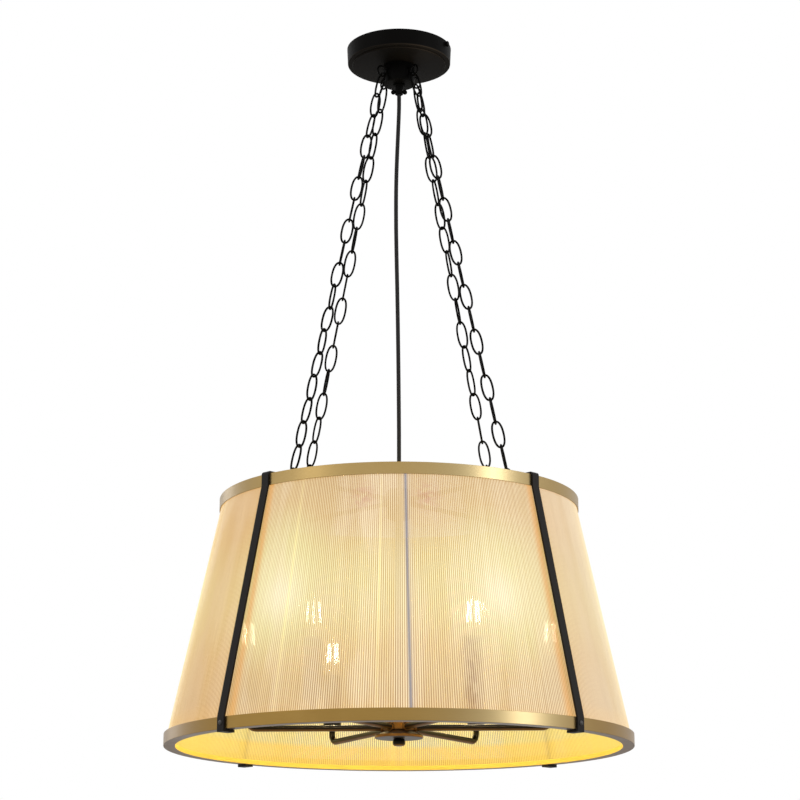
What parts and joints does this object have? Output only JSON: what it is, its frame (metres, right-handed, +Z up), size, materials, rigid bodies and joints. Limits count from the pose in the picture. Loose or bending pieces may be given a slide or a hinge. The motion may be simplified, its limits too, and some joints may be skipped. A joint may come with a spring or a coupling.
{
  "type": "drum chandelier",
  "caption": "Tapered drum chandelier with a ribbed translucent shade between brass bands, hung on chains from a round canopy, with candle lights on arms inside.",
  "frame": {"origin": "centre of the bracket's top face, on the ceiling plane", "axes": "+Z up, away from the light; -Y is the front that the picture shows; +X to the right seen from the front"},
  "size_m": [0.6, 0.6, 0.9676],
  "materials": {
    "black_metal": "satin black paint",
    "brass": "brushed warm brass",
    "shade": "clear ribbed strands, warm from the light inside",
    "zinc": "zinc plated",
    "cord": "matt black sleeve",
    "holder": "moulded",
    "bulb": "clear warm glass"
  },
  "bodies": {
    "canopy": {"mounting_bracket": "zinc", "canopy": "black_metal", "canopy_screw_right": "black_metal", "canopy_screw_left": "black_metal", "canopy_hub": "black_metal", "upper_eye_front_right": "black_metal", "upper_eye_rear_right": "black_metal", "upper_eye_rear_left": "black_metal", "upper_eye_front_left": "black_metal", "cord_grip": "black_metal"},
    "top_links": {"top_link_front_right": "black_metal", "top_link_rear_right": "black_metal", "top_link_rear_left": "black_metal", "top_link_front_left": "black_metal"},
    "pendant": {"power_cord": "cord", "chain_front_right": "black_metal", "chain_rear_right": "black_metal", "chain_rear_left": "black_metal", "chain_front_left": "black_metal", "lower_eye_front_right": "black_metal", "lower_eye_rear_right": "black_metal", "lower_eye_rear_left": "black_metal", "lower_eye_front_left": "black_metal", "top_hub": "black_metal", "strap_front_right": "black_metal", "strap_rear_right": "black_metal", "strap_rear_left": "black_metal", "strap_front_left": "black_metal", "top_ring": "brass", "bottom_ring": "brass", "shade_panel_right": "shade", "shade_panel_left": "shade", "stem": "black_metal", "arm_hub": "black_metal", "hub_cover": "black_metal", "finial": "black_metal", "arm_front_right": "black_metal", "arm_right": "black_metal", "arm_rear_right": "black_metal", "arm_rear_left": "black_metal", "arm_left": "black_metal", "arm_front_left": "black_metal", "lampholder_front_right": "holder", "lampholder_right": "holder", "lampholder_rear_right": "holder", "lampholder_rear_left": "holder", "lampholder_left": "holder", "lampholder_front_left": "holder", "candle_sleeve_front_right": "black_metal", "candle_sleeve_right": "black_metal", "candle_sleeve_rear_right": "black_metal", "candle_sleeve_rear_left": "black_metal", "candle_sleeve_left": "black_metal", "candle_sleeve_front_left": "black_metal"},
    "bulb_front_right": {"bulb_front_right": "bulb"},
    "bulb_right": {"bulb_right": "bulb"},
    "bulb_rear_right": {"bulb_rear_right": "bulb"},
    "bulb_rear_left": {"bulb_rear_left": "bulb"},
    "bulb_left": {"bulb_left": "bulb"},
    "bulb_front_left": {"bulb_front_left": "bulb"}
  },
  "joints": [
    {"name": "sway_front_back", "type": "hinge", "parent": "canopy", "child": "top_links", "pos_m": [0, 0, -0.0463], "axis": [1, 0, 0], "range_deg": [-3, 3]},
    {"name": "sway_left_right", "type": "hinge", "parent": "top_links", "child": "pendant", "pos_m": [0, 0, -0.0787], "axis": [0, 1, 0], "range_deg": [-3, 3]},
    {"name": "turn_bulb_front_right", "type": "hinge", "parent": "pendant", "child": "bulb_front_right", "pos_m": [0.09083, -0.17301, -0.8516], "axis": [0, 0, 1], "range_deg": [0, 720]},
    {"name": "turn_bulb_right", "type": "hinge", "parent": "pendant", "child": "bulb_right", "pos_m": [0.19524, -0.00784, -0.8516], "axis": [0, 0, 1], "range_deg": [0, 720]},
    {"name": "turn_bulb_rear_right", "type": "hinge", "parent": "pendant", "child": "bulb_rear_right", "pos_m": [0.10441, 0.16516, -0.8516], "axis": [0, 0, 1], "range_deg": [0, 720]},
    {"name": "turn_bulb_rear_left", "type": "hinge", "parent": "pendant", "child": "bulb_rear_left", "pos_m": [-0.09083, 0.17301, -0.8516], "axis": [0, 0, 1], "range_deg": [0, 720]},
    {"name": "turn_bulb_left", "type": "hinge", "parent": "pendant", "child": "bulb_left", "pos_m": [-0.19524, 0.00784, -0.8516], "axis": [0, 0, 1], "range_deg": [0, 720]},
    {"name": "turn_bulb_front_left", "type": "hinge", "parent": "pendant", "child": "bulb_front_left", "pos_m": [-0.10441, -0.16516, -0.8516], "axis": [0, 0, 1], "range_deg": [0, 720]}
  ]
}
